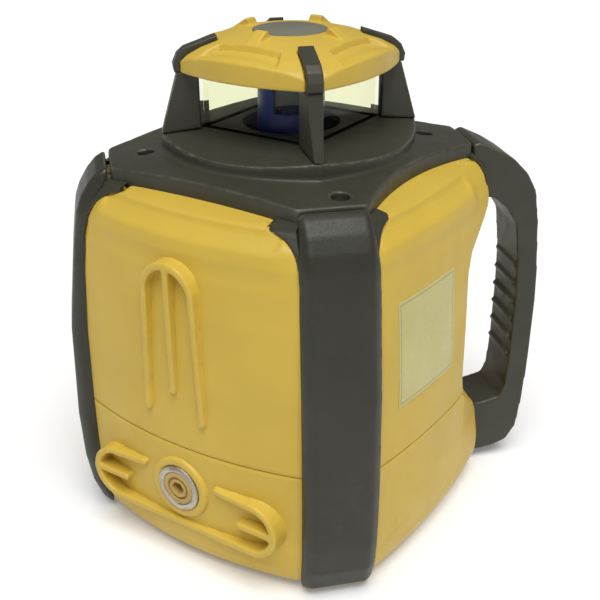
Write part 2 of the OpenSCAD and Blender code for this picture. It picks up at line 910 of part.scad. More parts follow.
module down_button() {
    button(2, 1, button_top);
}

board_w = 100;
board_d = 70;
board_z = bay_z1 + bay_wall + 4;
board_t = 1.6;

module main_board() {
    color("green") {
        box(-board_w / 2, board_w / 2, -board_d / 2, board_d / 2, board_z, board_z + board_t);
        board_parts();
    }
}

// The parts on the board: place, size and height
module board_parts() {
    for (p = [
        [-36, -20, 14, 14, 2], [-36, 14, 20, 8, 6], [0, -24, 18, 10, 3],
        [28, -20, 10, 16, 8], [30, 16, 16, 12, 4], [-4, 20, 12, 9, 2.5]
    ])
        box(p[0] - p[2] / 2, p[0] + p[2] / 2, p[1] - p[3] / 2, p[1] + p[3] / 2,
            board_z + board_t, board_z + board_t + p[4]);
}

// ---------------------------------------------------------------- battery
knob_r = 13;
knob_x = door_x - 5;
latch_room = 6;
latch_len = 18.5;

module battery_tray() {
    color("goldenrod") difference() {
        union() {
            intersection() {
                body_solid();
                box(-150, door_x, -tray_half_w, tray_half_w, tray_z, tray_z + tray_h);
            }
            difference() {
                box(door_x - 1, tray_back_x, -tray_half_w, tray_half_w, tray_z, tray_z + tray_h - 8);
                box(door_x, door_x + latch_room, -tray_half_w + tray_wall, tray_half_w - tray_wall,
                    tray_z + tray_wall, 100);
                box(door_x + latch_room + tray_wall, tray_back_x - tray_wall,
                    -tray_half_w + tray_wall, tray_half_w - tray_wall, tray_z + tray_wall, 100);
            }
        }
        translate([0, 0, cell_z]) rotate([0, -90, 0]) {
            rod(knob_r + seat_gap, -knob_x, 150);
            rod(knob_shaft_r + run_fit, -door_x - 10, 150);
        }
    }
}

knob_shaft_r = 3;

module battery_knob() {
    color("dimgray") translate([0, 0, cell_z]) {
        rotate([0, -90, 0]) {
            rod(knob_r, -knob_x + 0.3, -knob_x + 3);
            rod(knob_shaft_r, -door_x - 4.5, -knob_x + 1);
        }
        box(knob_x - 5.4, knob_x - 2, -2.5, 2.5, -knob_r + 1.5, knob_r - 1.5);
        box(door_x + 1.2, door_x + 3.4, -3, 3, -3, latch_len);
    }
}

cell_gap = 0.15;

module battery_cells() {
    color("slategray") for (y = [-1, 1], x = [-1, 1])
        translate([x * (cell_len / 2 + cell_gap), y * (cell_r + cell_gap), cell_z])
            rotate([0, 90, 0]) {
                cylinder(r = cell_r - 0.1, h = cell_len - 2, center = true);
                cylinder(r = 5, h = cell_len, center = true);
            }
}

module battery_contacts() {
    color("silver") for (y = [-1, 1], m = [0, 1])
        mirror([m, 0, 0]) translate([0, y * (cell_r + cell_gap), cell_z]) {
            rotate([0, 90, 0]) rod(4, cell_len + 2 * cell_gap, tray_back_x - tray_wall - 0.5);
            box(tray_back_x - tray_wall - 0.5, tray_back_x - tray_wall, -8, 8, -8, 8);
        }
}

// ---------------------------------------------------------------- gimbal and levelling
pivot_z = deck_z - pivot_drop;
chassis_t = 5;
chassis_r = 58;
chassis_hole_r = 30;
chassis_screw_pcd_r = 50;
ring_in_r = barrel_r + 7;
ring_out_r = ring_in_r + 7;
ring_h = 8;
lug_x = ring_out_r + 4;
lug_t = 6;
ball_r = 2;
ball_gap = 0.4;
arm_z = pivot_z - 22;
lead_r = 2;
lead_x = arm_reach + 8;
motor_r = 9;
motor_h = 20;
rod_offset = 14;

// A pair of pins or bores along X, on both sides of the axis
module pin_pair(r, x0, x1) {
    for (m = [0, 180])
        rotate([0, 0, m]) translate([0, 0, pivot_z]) rotate([0, 90, 0]) rod(r, x0, x1);
}

module chassis() {
    color("gray") difference() {
        union() {
            rod(chassis_r, deck_z - chassis_t, deck_z);
            for (m = [0, 180])
                rotate([0, 0, m]) box(lug_x, lug_x + lug_t, -5, 5, pivot_z - 5, deck_z - 1);
        }
        rod(chassis_hole_r, deck_z - chassis_t - 1, deck_z + 1);
        pin_pair(pin_r + run_fit, lug_x - 1, lug_x + lug_t + 1);
        for (a = [45 : 90 : 315])
            rotate([0, 0, a]) translate([chassis_screw_pcd_r, 0, 0])
                rod(1.5 + run_fit, deck_z - chassis_t - 1, deck_z + 1);
        for (a = [0, 90])
            rotate([0, 0, a]) translate([lead_x, 0, 0]) {
                rod(lead_r + 0.5, deck_z - chassis_t - 1, deck_z + 1);
                translate([0, a == 0 ? rod_offset : -rod_offset, 0])
                    rod(1.5, deck_z - chassis_t - 1, deck_z + 1);
            }
    }
}

module chassis_screws() {
    color("silver") for (a = [45 : 90 : 315])
        rotate([0, 0, a]) translate([chassis_screw_pcd_r, 0, 0]) {
            rod(1.5, deck_z - chassis_t - 1, plate_z - 0.6);
            rod(2.8, deck_z - chassis_t - 2.4, deck_z - chassis_t);
        }
}

module level_motors() {
    color("silver") for (a = [0, 90])
        rotate([0, 0, a]) translate([lead_x, 0, 0])
            tube(motor_r, lead_r + run_fit, deck_z - chassis_t - motor_h, deck_z - chassis_t);
}

rod_end_z = pivot_z - 44;

module guide_rods() {
    color("silver") for (a = [0, 90])
        rotate([0, 0, a]) translate([lead_x, a == 0 ? rod_offset : -rod_offset, 0])
            rod(1.5, rod_end_z, deck_z);
}

module level_screw() {
    rod(lead_r, rod_end_z, deck_z - chassis_t - 1);
    for (i = [0 : 9])
        tube(lead_r + 0.4, lead_r - 0.5, rod_end_z + 0.5 + i * 1.5, rod_end_z + 1.3 + i * 1.5);
}

module level_screw_x() {
    color("silver") translate([lead_x, 0, 0]) level_screw();
}

module level_screw_y() {
    color("silver") rotate([0, 0, 90]) translate([lead_x, 0, 0]) level_screw();
}

nut_h = 14;
nut_half = 5;

// side is +1 or -1: the side of the screw that the guide rod stands on
module level_nut(side) {
    color("sandybrown") difference() {
        union() {
            box(lead_x - 3.4, lead_x + 5, -nut_half, nut_half, arm_z - nut_h / 2, arm_z + nut_h / 2);
            for (s = [-1, 1])
                box(lead_x - 12, lead_x - 3, -nut_half, nut_half,
                    arm_z + s * (ball_r + ball_gap + 1) - 1, arm_z + s * (ball_r + ball_gap + 1) + 1);
            translate([0, side * 9, 0])
                box(lead_x - 3.5, lead_x + 3.5, -8.5, 8.5, arm_z - 3, arm_z + 3);
        }
        translate([lead_x, 0, 0]) rod(lead_r + 0.4 + run_fit, arm_z - 20, arm_z + 20);
        translate([lead_x, side * rod_offset, 0]) rod(1.5 + run_fit, arm_z - 20, arm_z + 20);
    }
}

module level_nut_x() {
    level_nut(1);
}

module level_nut_y() {
    rotate([0, 0, 90]) level_nut(-1);
}

module gimbal_ring() {
    color("silver") {
        difference() {
            tube(ring_out_r, ring_in_r, pivot_z - ring_h / 2, pivot_z + ring_h / 2);
            pin_pair(pin_r + run_fit, ring_in_r - 2, ring_out_r + 2);
        }
        rotate([0, 0, 90]) pin_pair(pin_r, barrel_r - 2.4, ring_in_r + 1);
    }
}

// The pins that the ring swings on, fixed in the chassis
module gimbal_pins() {
    color("dimgray") pin_pair(pin_r, ring_in_r + 1, lug_x + lug_t);
}

// ---------------------------------------------------------------- barrel and head
barrel_wall = 3;
barrel_low_z = pivot_z - 54;
barrel_top_z = pivot_z + 7;
neck_r = 8;
neck_bore_r = 6;
flange_z = pivot_z + 18;
flange_t = 3;
gear_z = flange_z + flange_t + 1;
gear_h = 4;
head_z = gear_z + gear_h;
head_top_z = pivot_z + 68;
bearing_r = 12;
bearing_h = 4;
neck_top_z = head_z + 15.5;
shelf_z = head_z + 16;
gear_r = gear_teeth * gear_module / 2;
pinion_r = pinion_teeth * gear_module / 2;
gear_offset = gear_r + pinion_r;
head_motor_r = 6;
head_motor_h = 10.5;
motor_a = 225;

module laser_barrel() {
    color("silver") difference() {
        union() {
            rod(barrel_r, barrel_low_z, barrel_top_z);
            rod(barrel_r - 2, barrel_top_z - 1, flange_z + 1);
            rod(barrel_r - 1, flange_z, flange_z + flange_t);
            // Flange that carries the head's motor
            rotate([0, 0, motor_a]) {
                box(0, gear_offset, -head_motor_r - 1, head_motor_r + 1, flange_z, flange_z + flange_t);
                translate([gear_offset, 0, 0]) rod(head_motor_r + 1, flange_z, flange_z + flange_t);
            }
            rod(neck_r, flange_z + 1, neck_top_z);
        }
        rod(barrel_r - barrel_wall, barrel_low_z - 1, barrel_top_z + 3);
        rod(neck_bore_r, barrel_low_z, neck_top_z + 1);
        rotate([0, 0, 90]) pin_pair(pin_r + run_fit, barrel_r - barrel_wall - 2, barrel_r + 1);
        rotate([0, 0, motor_a]) translate([gear_offset, 0, 0]) rod(1 + 0.5, flange_z - 1, flange_z + 5);
    }
}

collar_t = 4;

module tilt_arm() {
    color("gray") {
        difference() {
            union() {
                rod(barrel_r + collar_t, arm_z - 4, arm_z + 4);
                for (a = [0, 90])
                    rotate([0, 0, a]) box(barrel_r + 1, arm_reach - 0.5, -2.5, 2.5, arm_z - 1.25, arm_z + 1.25);
            }
            rod(barrel_r, arm_z - 5, arm_z + 5);
        }
        for (a = [0, 90])
            rotate([0, 0, a]) translate([arm_reach, 0, arm_z]) sphere(r = ball_r);
    }
}

sensor_z = arm_z - 20;

module tilt_sensors() {
    color("palegreen") for (a = [180, 270])
        rotate([0, 0, a]) difference() {
            box(barrel_r - 3, barrel_r + 7, -8, 8, sensor_z, sensor_z + 9);
            rod(barrel_r, sensor_z - 1, sensor_z + 10);
        }
}

module laser_module() {
    color("gold") {
        rod(barrel_r - barrel_wall, barrel_low_z, barrel_low_z + 12);
        rod(barrel_r - 1, barrel_low_z - 12, barrel_low_z);
    }
}

module collimator_lens() {
    color("aliceblue") intersection() {
        rod(barrel_r - barrel_wall, pivot_z - 16, pivot_z - 10);
        translate([0, 0, pivot_z - 34]) sphere(r = 24);
    }
}

module head_motor() {
    color("dimgray") rotate([0, 0, motor_a]) translate([gear_offset, 0, 0])
        tube(head_motor_r, 1 + run_fit, flange_z - head_motor_h, flange_z);
}

// Straight-sided teeth, thinner than half the pitch so that they run free
module gear_2d(teeth) {
    r = teeth * gear_module / 2;
    step = 360 / teeth;
    root = r - 1.15 * gear_module;
    tip = r + 0.8 * gear_module;
    polygon([
        for (i = [0 : teeth - 1])
            each [
                for (c = [[-0.31, root], [-0.12, tip], [0.12, tip], [0.31, root]])
                    let (a = (i + c[0]) * step)
                    [c[1] * cos(a), c[1] * sin(a)]
            ]
    ]);
}

module motor_pinion() {
    color("gold") rotate([0, 0, motor_a]) translate([gear_offset, 0, 0]) {
        rod(1, flange_z - head_motor_h - 1, gear_z + 1);
        // A tooth of the ring gear points at the motor, so a gap of the pinion faces it
        translate([0, 0, gear_z]) linear_extrude(gear_h - 0.5)
            rotate(180 + 180 / pinion_teeth) gear_2d(pinion_teeth);
    }
}

module head_gear() {
    color("gold") rotate([0, 0, motor_a]) translate([0, 0, gear_z]) difference() {
        linear_extrude(gear_h) gear_2d(gear_teeth);
        rod(neck_r + 1, -1, gear_h + 1);
    }
}

window_w = 13;
window_z = shelf_z + 3;
window_h = 15;
window_a = 300;

module spinning_head() {
    color("navy") difference() {
        rod(head_r, head_z, head_top_z);
        rod(bearing_r, head_z - 1, shelf_z);
        rod(neck_bore_r + 0.5, head_z, shelf_z + 5);
        rod(bearing_r - 0.5, window_z, head_top_z - 4);
        rotate([0, 0, window_a]) box(0, head_r + 2, -window_w / 2, window_w / 2, window_z, window_z + window_h);
    }
}

module head_bearings() {
    color("silver") for (z = [head_z, shelf_z - bearing_h - 1])
        tube(bearing_r, neck_r + run_fit, z, z + bearing_h);
}

prism_size = 14;

module pentaprism() {
    color("lightcyan") rotate([0, 0, window_a]) difference() {
        box(-prism_size / 2, prism_size / 2, -prism_size / 2, prism_size / 2, window_z, window_z + prism_size);
        translate([-prism_size / 2, 0, window_z + prism_size]) rotate([0, 22.5, 0])
            box(-10, 3, -20, 20, -30, 10);
    }
}

lower_housing();
upper_housing();
seam_seal();
top_plate();
lantern_pillars();
lantern_floor();
glass_gasket();
glass_panes();
cap_frame();
cap_cover();
cap_disc();
cap_straps();
bumper_front();
bumper_left();
bumper_back();
carry_handle();
handle_screws();
housing_screws();
base_plate();
base_screws();
side_insert();
side_plug();
label_plate();
control_bezel();
display_window();
display_module();
control_board();
key_mat();
power_button();
speed_button();
scan_button();
level_button();
up_button();
down_button();
main_board();
battery_tray();
battery_cells();
battery_contacts();
battery_knob();
chassis();
chassis_screws();
level_motors();
guide_rods();
level_screw_x();
level_screw_y();
level_nut_x();
level_nut_y();
gimbal_ring();
gimbal_pins();
laser_barrel();
tilt_arm();
tilt_sensors();
laser_module();
collimator_lens();
head_motor();
motor_pinion();
head_gear();
spinning_head();
head_bearings();
pentaprism();
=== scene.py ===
"""Looks of the rotating laser level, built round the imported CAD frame.

Lengths in the tables below are millimetres in the part's own frame, and MM turns them into metres.
"""

import math

import bmesh
import bpy
import numpy as np
from mathutils import Matrix, Vector


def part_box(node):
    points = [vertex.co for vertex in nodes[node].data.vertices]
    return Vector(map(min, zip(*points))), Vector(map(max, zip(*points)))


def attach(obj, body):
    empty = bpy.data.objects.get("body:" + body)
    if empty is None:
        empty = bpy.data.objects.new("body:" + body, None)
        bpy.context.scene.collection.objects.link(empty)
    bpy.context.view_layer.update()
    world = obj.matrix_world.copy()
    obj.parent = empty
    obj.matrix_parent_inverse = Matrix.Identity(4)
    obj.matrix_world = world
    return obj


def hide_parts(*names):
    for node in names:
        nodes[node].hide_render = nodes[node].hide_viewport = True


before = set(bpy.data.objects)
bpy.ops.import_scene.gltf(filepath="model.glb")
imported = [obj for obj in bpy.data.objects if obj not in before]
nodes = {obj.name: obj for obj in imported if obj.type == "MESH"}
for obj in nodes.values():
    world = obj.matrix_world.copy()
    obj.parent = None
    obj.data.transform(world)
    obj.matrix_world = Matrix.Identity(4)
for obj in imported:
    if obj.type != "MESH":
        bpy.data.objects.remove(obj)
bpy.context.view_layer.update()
scene = bpy.context.scene
MM = 0.001

# ------------------------------------------------------------------ sizes from the frame
body_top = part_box("upper_housing")[1].z / MM
seam_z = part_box("lower_housing")[1].z / MM
face_half = -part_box("lower_housing")[0].x / MM
rear_half = 87.0
plate_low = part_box("top_plate")[0].z / MM
rim_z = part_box("cap_cover")[0].z / MM
bumper_half = 16.5

# A face's profile: height, and how far it falls back from its widest point
FALL_Z = [1, 3, 7, 13, 25, 45, 65, 100, 130, 146, 156, 163, 168, 172]
FALL = [13, 8, 4.2, 2, 0.6, 0.1, 0, 0.5, 2, 3.6, 5.6, 8.8, 12.6, 17]

# Faces: direction, distance, bulge radius
FACES = {
    "label": (0, rear_half, 362),
    "control": (90, rear_half, 362),
    "battery": (180, face_half, 202),
    "laydown": (270, face_half, 202),
}

# The side of a face that the handle stands at, and where the face bends in towards it
HANDLE_SIDE = {"label": 1, "control": -1}
BEND_T = 16

# The handle corner's cut, in the plane of the corner: height and distance from the axis
CORNER_Z = [0, 36, 44, 53, 64, 76, 128.5, 136.5, 144.5, 150.5, 153.5, 180]
CORNER_R = [91.5, 91.5, 87.5, 79.5, 72.5, 70.5, 70.5, 73, 80.5, 87, 88, 88]


def turned(angle):
    """Outward and tangent directions of a face."""
    a = math.radians(angle)
    return np.array([math.cos(a), math.sin(a), 0]), np.array([-math.sin(a), math.cos(a), 0])


def smooth(x, a, b):
    k = np.clip((x - a) / (b - a), 0, 1)
    return k * k * (3 - 2 * k)


def skin(face, t, z):
    """Distance of a face's skin from the axis. The label and control faces bend in towards the handle."""
    _, half, bulge = FACES[face]
    z = np.asarray(z, float)
    radius = bulge - np.interp(z, FALL_Z, FALL)
    round_face = half - bulge + np.sqrt(np.maximum(radius**2 - t**2, 1))
    if face not in HANDLE_SIDE:
        return round_face
    s = t * HANDLE_SIDE[face]
    lift = 9 * smooth(z, 122, 147) + 5 * (1 - smooth(z, 14, 40))
    bent = half - (s - BEND_T) * math.tan(math.radians(14)) + lift
    k = 1.1
    return -k * np.logaddexp(-round_face / k, -bent / k)


# ------------------------------------------------------------------ mesh tools
def add_object(name, mesh):
    obj = bpy.data.objects.new(name, mesh)
    scene.collection.objects.link(obj)
    return obj


def evaluated(obj):
    """The object's mesh with its modifiers applied. The object is removed."""
    graph = bpy.context.evaluated_depsgraph_get()
    mesh = bpy.data.meshes.new_from_object(obj.evaluated_get(graph))
    old = obj.data
    bpy.data.objects.remove(obj)
    bpy.data.meshes.remove(old)
    return mesh


def welded(node):
    """A copy of a CAD node's mesh with its seams joined."""
    mesh = nodes[node].data.copy()
    mesh.materials.clear()
    work = bmesh.new()
    work.from_mesh(mesh)
    bmesh.ops.remove_doubles(work, verts=work.verts, dist=2e-6)
    work.to_mesh(mesh)
    work.free()
    for layer in list(mesh.uv_layers):
        mesh.uv_layers.remove(layer)
    return mesh


def voxel_mesh(node, size):
    obj = add_object("work", welded(node))
    remesh = obj.modifiers.new("remesh", "REMESH")
    remesh.mode = "VOXEL"
    remesh.voxel_size = size * MM
    return evaluated(obj)


def points_of(mesh):
    p = np.empty(len(mesh.vertices) * 3)
    mesh.vertices.foreach_get("co", p)
    return p.reshape(-1, 3) / MM


def normals_of(mesh):
    n = np.empty(len(mesh.vertices) * 3)
    mesh.vertex_normals.foreach_get("vector", n)
    return n.reshape(-1, 3)


def edges_of(mesh):
    e = np.empty(len(mesh.edges) * 2, dtype=np.int64)
    mesh.edges.foreach_get("vertices", e)
    return e.reshape(-1, 2)


def put_points(mesh, p):
    mesh.vertices.foreach_set("co", (p * MM).ravel())
    mesh.update()


def around(p, e):
    """The average of each point's neighbours."""
    n = len(p)
    count = np.bincount(e.ravel(), minlength=n)
    out = np.empty_like(p)
    for k in range(p.shape[1]):
        total = np.bincount(e[:, 0], weights=p[e[:, 1], k], minlength=n)
        total += np.bincount(e[:, 1], weights=p[e[:, 0], k], minlength=n)
        out[:, k] = total / np.maximum(count, 1)
    return out


def relax(p, e, rounds, mask=None):
    for _ in range(rounds):
        step = (around(p, e) - p) * 0.5
        p = p + (step if mask is None else step * mask[:, None])
    return p


def mark_edges(mesh, reach=3, gain=4.0, extra_shade=None):
    """Stores how much each point stands out as an edge, and how much painted shade it gets where it lies in
    a hollow, each from 0 to 1.
    """
    p, e, n = points_of(mesh), edges_of(mesh), normals_of(mesh)
    out = np.einsum("ij,ij->i", p - relax(p, e, reach), n)
    out = relax(out[:, None], e, 2)[:, 0]
    crevice_shade = np.clip(-out * gain * 1.3, 0, 1) * 0.6
    # Extra painted shade from a given mask joins the shade of the hollows
    if extra_shade is not None:
        crevice_shade = np.maximum(crevice_shade, extra_shade(p))
    store(mesh, "edge", np.clip(out * gain, 0, 1))
    store(mesh, "crevice_shade", crevice_shade)


def store(mesh, name, values):
    layer = mesh.attributes.new(name, "FLOAT", "POINT")
    layer.data.foreach_set("value", values.astype(np.float32))


def thinned(mesh, triangles):
    now = sum(len(f.vertices) - 2 for f in mesh.polygons)
    if now <= triangles:
        return mesh
    obj = add_object("work", mesh)
    thin = obj.modifiers.new("thin", "DECIMATE")
    thin.ratio = triangles / now
    return evaluated(obj)


def finish_piece(name, mesh, material, slot, body, *stands_for):
    mesh.materials.clear()
    mesh.materials.append(material)
    mesh.shade_smooth()
    obj = add_object(name, mesh)
    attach(obj, body)
    if stands_for:
        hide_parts(*stands_for)
    return obj


def bevelled(node, width, segments=2, angle=32):
    """A CAD node's mesh with its edges rounded by a bevel."""
    mesh = welded(node)
    work = bmesh.new()
    work.from_mesh(mesh)
    bmesh.ops.dissolve_limit(work, angle_limit=math.radians(1), verts=work.verts, edges=work.edges)
    work.to_mesh(mesh)
    work.free()
    obj = add_object("work", mesh)
    bevel = obj.modifiers.new("bevel", "BEVEL")
    bevel.width = width * MM
    bevel.segments = segments
    bevel.limit_method = "ANGLE"
    bevel.angle_limit = math.radians(angle)
    bevel.harden_normals = True
    return evaluated(obj)


# ------------------------------------------------------------------ materials
class Graph:
    """A material's node tree, with short ways to add nodes."""

    def __init__(self, name):
        self.material = bpy.data.materials.new(name)
        self.material.use_nodes = True
        self.tree = self.material.node_tree
        self.tree.nodes.clear()
        self.out = self.tree.nodes.new("ShaderNodeOutputMaterial")
        self.bsdf = self.tree.nodes.new("ShaderNodeBsdfPrincipled")
        self.link(self.bsdf.outputs[0], self.out.inputs["Surface"])
        self.place = self.tree.nodes.new("ShaderNodeTexCoord").outputs["Object"]

    def link(self, a, b):
        self.tree.links.new(a, b)

    def put(self, value, socket):
        if isinstance(value, bpy.types.NodeSocket):
            self.link(value, socket)
        else:
            socket.default_value = value

    def noise(self, scale, detail=2.0, rough=0.5, stretch=None, distort=0.0):
        node = self.tree.nodes.new("ShaderNodeTexNoise")
        node.inputs["Scale"].default_value = scale
        node.inputs["Detail"].default_value = detail
        node.inputs["Roughness"].default_value = rough
        node.inputs["Distortion"].default_value = distort
        place = self.place
        if stretch:
            mapping = self.tree.nodes.new("ShaderNodeMapping")
            mapping.inputs["Scale"].default_value = stretch
            self.link(place, mapping.inputs["Vector"])
            place = mapping.outputs["Vector"]
        self.link(place, node.inputs["Vector"])
        return node.outputs["Fac"]

    def cells(self, scale):
        node = self.tree.nodes.new("ShaderNodeTexVoronoi")
        node.inputs["Scale"].default_value = scale
        self.link(self.place, node.inputs["Vector"])
        return node.outputs["Distance"]

    def span(self, value, a, b, to_a=0.0, to_b=1.0, soft=True):
        """Maps a..b to to_a..to_b."""
        node = self.tree.nodes.new("ShaderNodeMapRange")
        node.interpolation_type = "SMOOTHSTEP" if soft else "LINEAR"
        node.inputs["From Min"].default_value = a
        node.inputs["From Max"].default_value = b
        node.inputs["To Min"].default_value = to_a
        node.inputs["To Max"].default_value = to_b
        self.put(value, node.inputs["Value"])
        return node.outputs["Result"]

    def math(self, kind, a, b=0.0):
        node = self.tree.nodes.new("ShaderNodeMath")
        node.operation = kind
        self.put(a, node.inputs[0])
        self.put(b, node.inputs[1])
        return node.outputs[0]

    def mix(self, share, a, b):
        node = self.tree.nodes.new("ShaderNodeMix")
        node.data_type = "RGBA"
        self.put(share, node.inputs["Factor"])
        self.put(a if isinstance(a, bpy.types.NodeSocket) else (*a, 1), node.inputs[6])
        self.put(b if isinstance(b, bpy.types.NodeSocket) else (*b, 1), node.inputs[7])
        return node.outputs[2]

    def stored(self, name):
        node = self.tree.nodes.new("ShaderNodeAttribute")
        node.attribute_name = name
        return node.outputs["Fac"]

    def axis(self, k):
        node = self.tree.nodes.new("ShaderNodeSeparateXYZ")
        self.link(self.place, node.inputs[0])
        return node.outputs[k]

    def bump(self, height, depth_mm, after=None, strength=1.0):
        node = self.tree.nodes.new("ShaderNodeBump")
        node.inputs["Strength"].default_value = strength
        node.inputs["Distance"].default_value = depth_mm * MM
        self.put(height, node.inputs["Height"])
        if after is not None:
            self.link(after, node.inputs["Normal"])
        self.link(node.outputs[0], self.bsdf.inputs["Normal"])
        return node.outputs[0]

    def set(self, **sockets):
        for name, value in sockets.items():
            socket = self.bsdf.inputs[name.replace("_", " ")]
            if isinstance(value, tuple) and len(value) == 3:
                value = (*value, 1)
            self.put(value, socket)
        return self.material


def scaled(colour, k):
    return tuple(min(1.0, c * k) for c in colour)


def plastic(name, colour, dark, wear, rough=0.5, grain=750, depth=0.05, blotch=0.05, dirt=0.12, rubbed_edge_highlight=0.35,
            specular=0.5, deep=0.95):
    """Moulded plastic: fine grain, soft colour drift, faint grime, painted shade in the crevices, and
    lighter edges that are partly rubbed wear and partly a painted highlight.
    """
    g = Graph(name)
    drift = g.noise(22, 3, 0.55)
    smudge = g.noise(120, 5, 0.6, distort=0.4)
    fine = g.noise(grain, 2, 0.5)
    base = g.mix(g.span(drift, 0.3, 0.7), scaled(colour, 1 - blotch), scaled(colour, 1 + blotch))
    # Grime gathers in soft patches and specks
    patch = g.math("MULTIPLY", g.span(g.noise(9, 4, 0.6), 0.5, 0.75), g.span(smudge, 0.42, 0.7))
    speck = g.span(g.noise(420, 2, 0.5), 0.72, 0.8)
    speck = g.math("MULTIPLY", speck, g.span(g.noise(30, 2), 0.5, 0.65))
    grime = g.math("ADD", g.math("MULTIPLY", patch, dirt), g.math("MULTIPLY", speck, dirt * 2))
    base = g.mix(grime, base, dark)
    # Painted shade darkens the crevices, and the edges are lighter: partly rubbed wear, partly a painted
    # highlight along them
    base = g.mix(g.math("MULTIPLY", g.span(g.stored("crevice_shade"), 0.1, 0.9), deep), base, scaled(dark, 0.35))
    edge = g.math("MULTIPLY", g.span(g.stored("edge"), 0.15, 0.8), g.span(g.noise(260, 4, 0.65), 0.35, 0.6))
    base = g.mix(g.math("MULTIPLY", edge, rubbed_edge_highlight), base, wear)
    scratch = g.span(g.noise(160, 3, 0.6, stretch=(1, 1, 14)), 0.66, 0.74)
    scratch = g.math("MULTIPLY", scratch, g.span(g.noise(16, 2), 0.5, 0.7))
    base = g.mix(g.math("MULTIPLY", scratch, 0.12), base, wear)
    smudged = g.span(smudge, 0.25, 0.75, rough - 0.07, rough + 0.07)
    roughness = g.math("ADD", smudged, g.math("MULTIPLY", edge, -0.12))
    first = g.bump(fine, depth)
    g.bump(scratch, 0.03, first)
    g.set(Base_Color=base, Roughness=roughness, Specular_IOR_Level=specular)
    return g.material


def rubber(name, colour, wear, rough=0.6):
    g = Graph(name)
    base = g.mix(g.span(g.noise(40, 3), 0.3, 0.7), scaled(colour, 0.85), scaled(colour, 1.15))
    dust = g.math("MULTIPLY", g.span(g.noise(200, 4, 0.65), 0.5, 0.7), 0.2)
    base = g.mix(dust, base, wear)
    g.bump(g.noise(900, 2), 0.03)
    g.set(Base_Color=base, Roughness=g.span(g.noise(150, 3), 0.3, 0.7, rough - 0.08, rough + 0.1))
    return g.material


def metal(name, colour, rough=0.3, stretch=(1, 1, 12), scale=260, depth=0.01, tarnish=0.15):
    """Turned or brushed metal: fine lines, dull patches and a little tarnish."""
    g = Graph(name)
    lines = g.noise(scale, 3, 0.6, stretch=stretch)
    dull = g.noise(60, 4, 0.6)
    base = g.mix(g.span(lines, 0.35, 0.65), scaled(colour, 0.88), scaled(colour, 1.08))
    base = g.mix(g.math("MULTIPLY", g.span(dull, 0.5, 0.75), tarnish), base, scaled(colour, 0.45))
    g.bump(lines, depth)
    g.set(Base_Color=base, Metallic=1.0, Roughness=g.span(dull, 0.3, 0.7, rough - 0.06, rough + 0.14))
    return g.material


def glass(name, tint, rough=0.015, smears=0.08, ior=1.45):
    """Clear glass that lets the lamps through, with faint smears."""
    g = Graph(name)
    smear = g.span(g.noise(70, 5, 0.65, stretch=(1, 1, 0.4)), 0.45, 0.75)
    g.set(Base_Color=tint, Roughness=g.math("ADD", g.math("MULTIPLY", smear, smears), rough))
    g.set(Transmission_Weight=1.0, IOR=ior)
    g.bump(g.noise(25, 2), 0.02, strength=0.3)
    path = g.tree.nodes.new("ShaderNodeLightPath")
    clear = g.tree.nodes.new("ShaderNodeBsdfTransparent")
    clear.inputs[0].default_value = (0.92, 0.93, 0.88, 1)
    blend = g.tree.nodes.new("ShaderNodeMixShader")
    g.link(path.outputs["Is Shadow Ray"], blend.inputs[0])
    g.link(g.bsdf.outputs[0], blend.inputs[1])
    g.link(clear.outputs[0], blend.inputs[2])
    g.link(blend.outputs[0], g.out.inputs["Surface"])
    return g.material


YELLOW = (0.66, 0.455, 0.060)
DARK = (0.046, 0.045, 0.030)

yellow = plastic("yellow_shell", YELLOW, (0.20, 0.15, 0.06), (0.86, 0.68, 0.28),
                 rough=0.46, blotch=0.035, specular=0.4)
dark = plastic("dark_frame", DARK, (0.10, 0.09, 0.07), (0.27, 0.265, 0.21),
               rough=0.45, blotch=0.1, rubbed_edge_highlight=0.85, dirt=0.2,
               specular=0.4, deep=0.9)
bumper_mat = plastic("bumper_dark", scaled(DARK, 0.68), (0.11, 0.10, 0.08), (0.36, 0.35, 0.30),
                     rough=0.46, blotch=0.12, rubbed_edge_highlight=0.8,
                     dirt=0.25, grain=900, depth=0.07, specular=0.4, deep=0.9)
grey_trim = plastic("grey_trim", (0.10, 0.095, 0.08), (0.05, 0.05, 0.04), (0.25, 0.24, 0.21), rough=0.5)
disc_mat = plastic("cap_disc", (0.19, 0.185, 0.135), (0.08, 0.07, 0.05), (0.25, 0.24, 0.20),
                   rough=0.52, grain=500, depth=0.06)
tan = plastic("plug_tan", (0.50, 0.34, 0.09), (0.12, 0.09, 0.04), (0.75, 0.62, 0.34), rough=0.5, dirt=0.35)
black = rubber("black_rubber", (0.018, 0.018, 0.017), (0.09, 0.085, 0.07))
key_grey = rubber("button_grey", (0.20, 0.20, 0.19), (0.32, 0.31, 0.28))
key_red = rubber("button_red", (0.40, 0.045, 0.03), (0.5, 0.2, 0.15))
steel = metal("steel", (0.56, 0.55, 0.53), rough=0.34)
alloy = metal("alloy", (0.62, 0.62, 0.60), rough=0.38, stretch=(1, 1, 1), scale=500)
insert_mat = metal("alloy_insert", (0.48, 0.44, 0.36),
                   rough=0.36, stretch=(1, 8, 1), scale=300, tarnish=0.35)
brass = metal("brass", (0.66, 0.49, 0.21), rough=0.3)
black_alloy = metal("barrel_black", (0.05, 0.05, 0.055), rough=0.42)
pane = glass("clear_glass", (0.92, 0.93, 0.76), rough=0.0, smears=0.02, ior=1.12)
prism = glass("prism_glass", (0.10, 0.36, 0.95), smears=0.02)
window = glass("clear_window", (0.93, 0.95, 0.93), smears=0.15)
vial = glass("sensor_green", (0.55, 0.85, 0.35), smears=0.02)


def head_material():
    g = Graph("navy_head")
    cloud = g.noise(60, 3, 0.5)
    base = g.mix(g.span(cloud, 0.3, 0.7), (0.002, 0.022, 0.30), (0.004, 0.040, 0.44))
    g.bump(g.noise(400, 2), 0.006)
    g.set(Base_Color=base, Roughness=g.span(g.noise(90, 3), 0.3, 0.7, 0.22, 0.34), Specular_IOR_Level=0.22)
    return g.material


